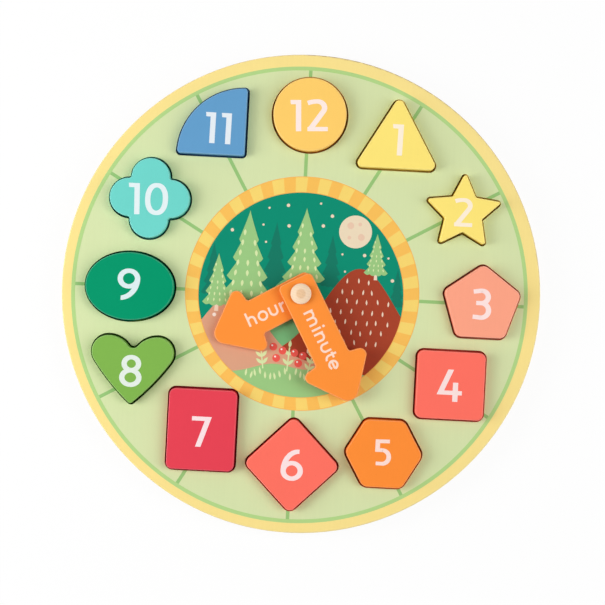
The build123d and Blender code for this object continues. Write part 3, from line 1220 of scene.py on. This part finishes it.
BLOCKS = (
    HourBlock(1, "triangle", Colour(255, 231, 122), Colour(255, 241, 218), (0.0, -5.64)),
    HourBlock(2, "star", Colour(255, 231, 122), Colour(255, 240, 216), (0.0, -1.97)),
    HourBlock(3, "pentagon", Colour(254, 165, 135), Colour(255, 228, 224), (0.0, -1.77)),
    HourBlock(4, "square", Colour(255, 114, 98), Colour(252, 225, 222)),
    HourBlock(5, "hexagon", Colour(255, 143, 56), Colour(255, 222, 211)),
    HourBlock(6, "diamond", Colour(255, 115, 98), Colour(253, 227, 226)),
    HourBlock(7, "rectangle", Colour(229, 67, 83), Colour(250, 225, 227)),
    HourBlock(8, "heart", Colour(127, 179, 78), Colour(226, 236, 227)),
    HourBlock(9, "oval", Colour(0, 148, 104), Colour(219, 235, 237)),
    HourBlock(10, "flower", Colour(111, 212, 201), Colour(226, 239, 241)),
    HourBlock(11, "quarter", Colour(99, 157, 202), Colour(228, 236, 242), (2.94, -2.94)),
    HourBlock(12, "circle", Colour(255, 207, 107), Colour(255, 235, 227)),
)


@dataclass(frozen=True)
class Hill:
    """A hill: a level line with bell curves on it, each with a height, a middle and a half width.

    It runs from a start to an end along X, which are shares of the picture's radius.
    """

    base: float
    bells: tuple[tuple[float, float, float], ...]
    start: float
    end: float

    def brow(self, x: Array) -> Array:
        """The hill's line: its base plus each height times exp(-w w), with w = (x - middle) / half width."""
        height = np.full_like(x, self.base)
        for rise, middle, width in self.bells:
            height = height + rise * np.exp(-(((x - middle) / width) ** 2))
        return height

    def patch(self, radius: float) -> Patch:
        """The hill between a circle below and its own line above, neither outside the circle."""
        angle = np.linspace(math.asin(self.start), math.asin(self.end), 180)
        x, rim = radius * np.sin(angle), radius * np.cos(angle)
        return between(np.stack([x, -rim], 1), np.stack([x, np.clip(self.brow(x), -rim, rim)], 1))


@dataclass(frozen=True)
class Fir:
    """A fir: the middle of its lowest edge, its height above that and its width, and how it is cut.

    Its height is a step for each tier and a spare part of one. Each tier starts a step above the last and
    reaches a number of steps up, but the top one ends at the tip. By the top the tiers have narrowed by
    the taper. They droop at their ends and hang in scallops.
    """

    x: float
    y: float
    height: float
    width: float
    tiers: int = 4
    spare: float = 0.6
    reach: float = 1.9
    taper: float = 0.62
    droop: float = 0.16
    scallop: float = 0.055
    hollow: float = 1.12
    needle_rows: int = 7

    def boughs(self) -> list[Patch]:
        """The tiers, from the lowest up, each a hollow-sided triangle with a scalloped lower edge.

        The lower edge is a parabola less the size of a sine wave. A side goes in from the half width by
        one less the way up to the power of the hollow.

        Returns:
            A fan for each tier.
        """
        way, rise = np.linspace(0.0, 1.0, 41), np.linspace(0.0, 1.0, 9)[1:]
        sag = self.scallop * self.width * np.abs(np.sin(way * math.pi * 4.0))
        made = []
        for k in range(self.tiers):
            low = self.height * k / (self.tiers + self.spare)
            top = 1.0 if k == self.tiers - 1 else (k + self.reach) / (self.tiers + self.spare)
            tall = self.height * top - low
            half = self.width / 2.0 * (1.0 - self.taper * k / (self.tiers - 1))
            hang = self.droop * half
            hem = np.stack([half * (1.0 - 2.0 * way), low - sag + hang * (2.0 * way - 1.0) ** 2], 1)
            side = -half * (1.0 - rise) ** self.hollow
            left = np.stack([side, low + hang * (1 - rise) + tall * rise], 1)
            right = np.stack([-left[-2::-1, 0], left[-2::-1, 1]], 1)
            outline = np.vstack([hem, left, right]) + (self.x, self.y)
            made.append(fan(outline, (self.x, self.y + low + tall * 0.3)))
        return made

    def needles(self) -> list[Patch]:
        """Pale ticks: in each row one or more leaves that point down and out."""
        made = []
        for k in range(self.needle_rows):
            way = k / self.needle_rows
            up = self.height * (0.06 + 0.80 * way)
            reach = self.width / 2.0 * (1.0 - up / self.height) * 0.62
            for place in np.linspace(-reach, reach, max(1, round(4 - 3 * way))):
                base = np.array([self.x + place, self.y + up + 2.0])
                tip = base + (place * 0.10, -self.width * 0.125)
                made.append(leaf(base, tip, self.width * 0.055, 8))
        return made

    def trunk(self) -> Patch:
        """The trunk, which narrows from below the boughs up to a little way into them."""
        low, high = self.y - self.height * 0.13, self.y + 4.0
        foot, neck = self.width * 0.07, self.width * 0.05
        left = np.array([(self.x - foot, low), (self.x - neck, high)])
        return between(left, np.array([(self.x + foot, low), (self.x + neck, high)]))


@dataclass
class Woodland:
    """The round picture inside the band: a plain wood at dusk, with hills, firs, a moon and berries."""

    radius: float = 59.9
    night: Colour = Colour(0, 138, 110)
    shade: Colour = Colour(14, 118, 96)
    fir: Colour = Colour(153, 199, 129)
    pale: Colour = Colour(215, 230, 170)
    rust: Colour = Colour(165, 65, 40)
    peach: Colour = Colour(218, 161, 130)
    cream: Colour = Colour(240, 215, 190)
    berry: Colour = Colour(235, 90, 80)
    meadow: Hill = Hill(-42.0, ((52.0, -6.0, 27.0),), -0.85, 0.85)
    rust_hill: Hill = Hill(-37.0, ((54.0, 34.0, 30.0),), -0.4, 0.9999)
    peach_hill: Hill = Hill(-40.0, ((39.0, -39.0, 25.0),), -0.9999, 0.2)
    bank: Hill = Hill(-47.0, ((6.0, -14.0, 16.0), (5.0, 22.0, 18.0)), -0.72, 0.72)
    far_firs: tuple[Fir, ...] = (
        Fir(-52.0, -2.0, 30.0, 13.0), Fir(-16.0, 4.0, 38.0, 16.0),
        Fir(17.0, 6.0, 30.0, 13.0), Fir(56.0, -4.0, 22.0, 9.0),
    )
    near_firs: tuple[Fir, ...] = (
        Fir(-32.0, -4.0, 52.0, 30.0), Fir(1.0, 8.0, 43.0, 25.0),
        Fir(-49.0, -8.0, 30.0, 17.0), Fir(43.0, 14.0, 24.0, 14.0),
    )
    moon: tuple[float, float] = (30.0, 38.5)
    moon_radius: float = 9.6
    craters: tuple[tuple[float, float], ...] = ((27, 42), (33.5, 35.5))
    pits: tuple[tuple[float, float], ...] = ((32.5, 43), (26.5, 35))
    big_stars: tuple[tuple[float, float], ...] = (
        (-10, 52), (16, 47), (-42, 36), (-9, 40), (11, 41), (36, 25), (53, 11),
    )
    small_stars: tuple[tuple[float, float], ...] = (
        (9, 54), (-21, 50), (-22, 30), (23, 25), (25, 15), (50, 24), (-24, 40),
    )
    flowers: tuple[tuple[float, float], ...] = (
        (-50, -14), (-42, -10), (-33, -12), (-46, -22), (-37, -19), (-28, -20), (-22, -27), (-32, -28),
    )
    berries: tuple[tuple[float, float], ...] = (
        (-12.5, -37.5), (-9.0, -33.0), (-14.5, -31.0), (0.5, -40.0), (3.0, -35.5), (-2.0, -34.0),
    )
    blades: int = 23
    layer: int = 0

    def boughs(self, firs: Sequence[Fir]) -> list[Patch]:
        """The boughs of firs, as far as they are inside the picture."""
        return [self.clipped(bough) for fir in firs for bough in fir.boughs()]

    def clipped(self, patch: Patch) -> Patch:
        """A fan whose rays stop at the picture's edge.

        From a middle c inside the circle of radius R, the ray along the unit vector d meets it at
        -c.d + sqrt((c.d)(c.d) - c.c + R R), and a ray that is longer is cut to that.

        Args:
            patch: the fan.

        Returns:
            The fan with its outline inside the circle.
        """
        middle = patch.grid[0]
        run = patch.grid[1] - middle
        length = np.maximum(np.hypot(*run.T), 1e-9)
        direction = run / length[:, None]
        along = np.sum(middle * direction, axis=1)
        reach = -along + np.sqrt(along**2 - np.sum(middle**2, axis=1) + self.radius**2)
        return fan(middle + direction * np.minimum(length, reach)[:, None], middle[0])

    def tufts(self, rng: np.random.Generator) -> Array:
        """Places for grass on the rust hill: every other row of a grid set off, and each moved at random.

        Args:
            rng: where the moves are drawn from.

        Returns:
            The places that lie well below the hill's line and inside the circle.
        """
        step, lowest = 6, -34
        places = np.array([(x, y) for y in range(lowest, 16, step) for x in range(step, 60, step)], float)
        odd = np.round((places[:, 1] - lowest) / step) % 2 == 1
        places[:, 0] += np.where(odd, step / 2.0, 0.0)
        places += rng.uniform(-0.5, 0.5, places.shape)
        below = places[:, 1] < self.rust_hill.brow(places[:, 0]) - 5.0
        return places[below & (np.hypot(*places.T) < 54.0)]

    @staticmethod
    def grass(places: Array, lean: Array, length: float, width: float) -> list[Patch]:
        """Blades that stand up from their places, each leaning its own way."""
        tips = places + np.stack([lean * length, np.full(len(places), length)], 1)
        return [leaf(foot, tip, width, 8) for foot, tip in zip(places, tips)]

    @staticmethod
    def sprig(foot: Sequence[float], tip: Sequence[float], pairs: int, size: float) -> list[Patch]:
        """A stem with pairs of leaves along it and one at its tip."""
        start, run = np.asarray(foot, float), np.asarray(tip, float) - np.asarray(foot, float)
        across = np.array([-run[1], run[0]]) / np.hypot(*run)
        ahead = run / np.hypot(*run)
        made = [Stroke(line(start, start + run)).patch(Pen(0.8, 0.8))]
        for k in range(pairs):
            base = start + run * (k + 0.7) / (pairs + 0.5)
            for side in (-1.0, 1.0):
                made.append(leaf(base, base + size * (ahead * 0.75 + across * 0.75 * side), size * 0.42))
        made.append(leaf(start + run, start + run + ahead * size, size * 0.42))
        return made

    @staticmethod
    def spots(places: Sequence[Sequence[float]], radius: float) -> list[Patch]:
        """Small discs of one size."""
        return [disc(place, radius, 20) for place in places]

    def add(self, name: str, colour: Colour, patches: Sequence[Patch]) -> None:
        """Prints one layer of the picture above the last."""
        face = top_of("front_plate")
        height = face + PRINT_LIFT + PRINT_STEP * self.layer
        self.layer += 1
        ink = PrintInk(f"picture_{name}_ink", colour).material()
        placed = [patch.moved(PICTURE_MIDDLE) for patch in patches]
        new_piece(f"picture_{name}", placed, ink, "board", face, height, OVERLAP_STEP)

    def build(self) -> None:
        """Prints the picture from the back to the front."""
        rng = np.random.default_rng(11)
        tufts = self.tufts(rng)
        self.add("night", self.night, [disc((0, 0), self.radius, 240)])
        self.add("far_firs", self.shade, self.boughs(self.far_firs))
        self.add("moon", self.cream.towards(self.pale, 0.15), [disc(self.moon, self.moon_radius, 64)])
        marks = self.spots(self.craters, 2.0) + self.spots(self.pits, 1.1)
        self.add("moon_marks", self.cream.towards(self.peach, 0.3), marks)
        self.add("stars", self.cream, self.spots(self.big_stars, 1.0) + self.spots(self.small_stars, 0.65))
        self.add("meadow", self.fir.towards(self.night, 0.22), [self.meadow.patch(self.radius)])
        self.add("rust_hill", self.rust, [self.rust_hill.patch(self.radius)])
        self.add("rust_grass", self.cream, self.grass(tufts, rng.uniform(-0.2, 0.2, len(tufts)), 3.2, 1.0))
        self.add("peach_hill", self.peach, [self.peach_hill.patch(self.radius)])
        self.add("peach_dots", self.cream.towards(WHITE, 0.5), self.spots(self.flowers, 1.1))
        self.add("fir_trunks", self.cream, [fir.trunk() for fir in self.near_firs])
        self.add("firs", self.fir, self.boughs(self.near_firs))
        self.add("fir_needles", self.pale, [tick for fir in self.near_firs for tick in fir.needles()])
        self.add("bank", self.fir, [self.bank.patch(self.radius)])
        feet = np.stack([np.linspace(-30, 34, self.blades), rng.uniform(-50.5, -47.0, self.blades)], 1)
        self.add("bank_grass", self.pale, self.grass(feet, rng.uniform(-0.25, 0.25, self.blades), 4.4, 1.3))
        sprigs = self.sprig((-20, -44), (-22, -30), 3, 4.6) + self.sprig((6, -46), (9, -33), 3, 4.2)
        self.add("leaves", self.pale, sprigs + self.sprig((-6, -45), (-5, -31), 2, 4.4))
        self.add("berries", self.berry, self.spots(self.berries, 2.3))
        shines = [(x - 0.7, y + 0.8) for x, y in self.berries]
        self.add("berry_shines", self.cream.towards(WHITE, 0.6), self.spots(shines, 0.55))


@dataclass(frozen=True)
class Lamp:
    """One soft round lamp.

    It has a bearing clockwise from 12 and a height above the table, both in degrees, a distance from
    the clock in millimetres, and watts.
    """

    name: str
    bearing: float
    height: float
    distance: float
    watts: float


@dataclass
class Studio:
    """A white table, a soft sky, soft lamps all round, most of them at the sides, and the camera above."""

    floor_size: float = 12000.0
    sky_strength: float = 0.14
    lamp_spread: float = 0.56
    lamps: tuple[Lamp, ...] = (
        Lamp("west_low", 264.0, 25.0, 1050.0, 6.3),
        Lamp("west_high", 281.0, 45.0, 1000.0, 2.6),
        Lamp("east_low", 97.0, 29.0, 1400.0, 5.4),
        Lamp("east_high", 79.0, 50.0, 1400.0, 6.0),
        Lamp("south_east_low", 138.0, 30.0, 1400.0, 1.8),
        Lamp("south_west_low", 225.0, 26.0, 1400.0, 1.6),
        Lamp("north_low", 0.0, 25.0, 900.0, 0.7),
    )
    camera_place: tuple[float, float, float] = (1.15, -4.99, 812.0)
    camera_turn: float = 3.0
    picture_width: float = 353.8
    picture_distance: float = 800.0
    sensor: float = 36.0

    def build(self) -> None:
        """Builds the table, the sky, the lamps and the camera."""
        self.table()
        self.sky()
        for lamp in self.lamps:
            self.lamp(lamp)
        self.camera()
        bpy.context.scene.view_settings.view_transform = "Standard"

    @staticmethod
    def seen(graph: Graph) -> Socket:
        """1 for what the camera, a reflection or clear material sees directly, 0 for light that spreads."""
        path = graph.node("ShaderNodeLightPath", output="Is Camera Ray")
        outputs = path.output.node.outputs
        glossy = Socket(graph, outputs["Is Glossy Ray"])
        clear = Socket(graph, outputs["Is Transmission Ray"])
        return path.largest(glossy).largest(clear)

    def table(self) -> None:
        """A white table top under the clock, which keeps a soft shadow."""
        half = self.floor_size / 2.0 * MM
        low = CAD_BOX[0][2]
        mesh = bpy.data.meshes.new("table")
        corners = [(-half, -half, low), (half, -half, low), (half, half, low), (-half, half, low)]
        mesh.from_pydata(corners, [], [(0, 1, 2, 3)])
        material, graph = new_material("table_white")
        paper = graph.noise(graph.place(), 0.3, 2.0)
        tone = graph.scaled(WHITE, 0.93 + paper * 0.01)
        matt = graph.node("ShaderNodeBsdfDiffuse", None, {"Color": tone})
        glow = graph.node("ShaderNodeEmission", None, {"Color": WHITE, "Strength": 1.0})
        both = graph.node("ShaderNodeMixShader", None, {0: self.seen(graph) * 0.92, 1: matt, 2: glow})
        graph.node("ShaderNodeOutputMaterial", None, {"Surface": both})
        mesh.materials.append(material)
        table = bpy.data.objects.new("table", mesh)
        bpy.context.scene.collection.objects.link(table)

    def sky(self) -> None:
        """An even, dim sky, and plain white where it is looked at."""
        world = bpy.data.worlds.new("studio")
        bpy.context.scene.world = world
        world.use_nodes = True
        graph = Graph(world.node_tree)
        light = graph.node("ShaderNodeBackground", None, {"Color": WHITE, "Strength": self.sky_strength})
        plain = graph.node("ShaderNodeBackground", None, {"Color": WHITE, "Strength": 1.0})
        both = graph.node("ShaderNodeMixShader", None, {0: self.seen(graph), 1: light, 2: plain})
        graph.node("ShaderNodeOutputWorld", None, {"Surface": both})

    def lamp(self, spec: Lamp) -> None:
        """Hangs one lamp so that it faces the clock.

        Args:
            spec: its name, place and power.
        """
        light = bpy.data.lights.new(spec.name, "AREA")
        light.shape = "DISK"
        light.size = self.lamp_spread * spec.distance * MM
        light.energy = spec.watts
        lamp = bpy.data.objects.new(spec.name, light)
        turn, rise = math.radians(spec.bearing), math.radians(spec.height)
        reach = spec.distance * MM
        flat = reach * math.cos(rise)
        lamp.location = (flat * math.sin(turn), flat * math.cos(turn), reach * math.sin(rise))
        lamp.rotation_euler = (math.pi / 2.0 - rise, 0.0, math.pi - turn)
        lamp.visible_camera = False
        bpy.context.scene.collection.objects.link(lamp)

    def camera(self) -> None:
        """The camera, straight above, turned a little, with the lens that shows the picture's width."""
        data = bpy.data.cameras.new("camera")
        data.sensor_width = self.sensor
        data.sensor_fit = "HORIZONTAL"
        data.lens = self.sensor * self.picture_distance / self.picture_width
        data.clip_start = 0.01
        data.clip_end = 50.0
        camera = bpy.data.objects.new("camera", data)
        camera.location = tuple(part * MM for part in self.camera_place)
        camera.rotation_euler = (0.0, 0.0, math.radians(self.camera_turn))
        bpy.context.scene.collection.objects.link(camera)
        bpy.context.scene.camera = camera


def main() -> None:
    """Builds the studio and the clock."""
    logging.basicConfig(level=logging.INFO, format="%(name)s %(message)s")
    Studio().build()
    Board().build()
    Woodland().build()
    Peg().build()
    orange = SatinPaint("hand_orange", Colour(254, 146, 58)).material()
    cream = PrintInk("word_cream", Colour(255, 221, 201), 0.02).material()
    hour = Hand(
        "hour_hand", Word.HOUR, bearing=239.7, middle=26.0, towards_peg=True, tilt=-3.0, rise=0.7,
        paint=orange, ink=cream,
    )
    minute = Hand(
        "minute_hand", Word.MINUTE, bearing=151.2, middle=29.75, towards_peg=False, tilt=0.0, rise=-0.3,
        paint=orange, ink=cream,
    )
    for piece in (hour, minute, *BLOCKS):
        piece.build()


if __name__ == "__main__":
    main()
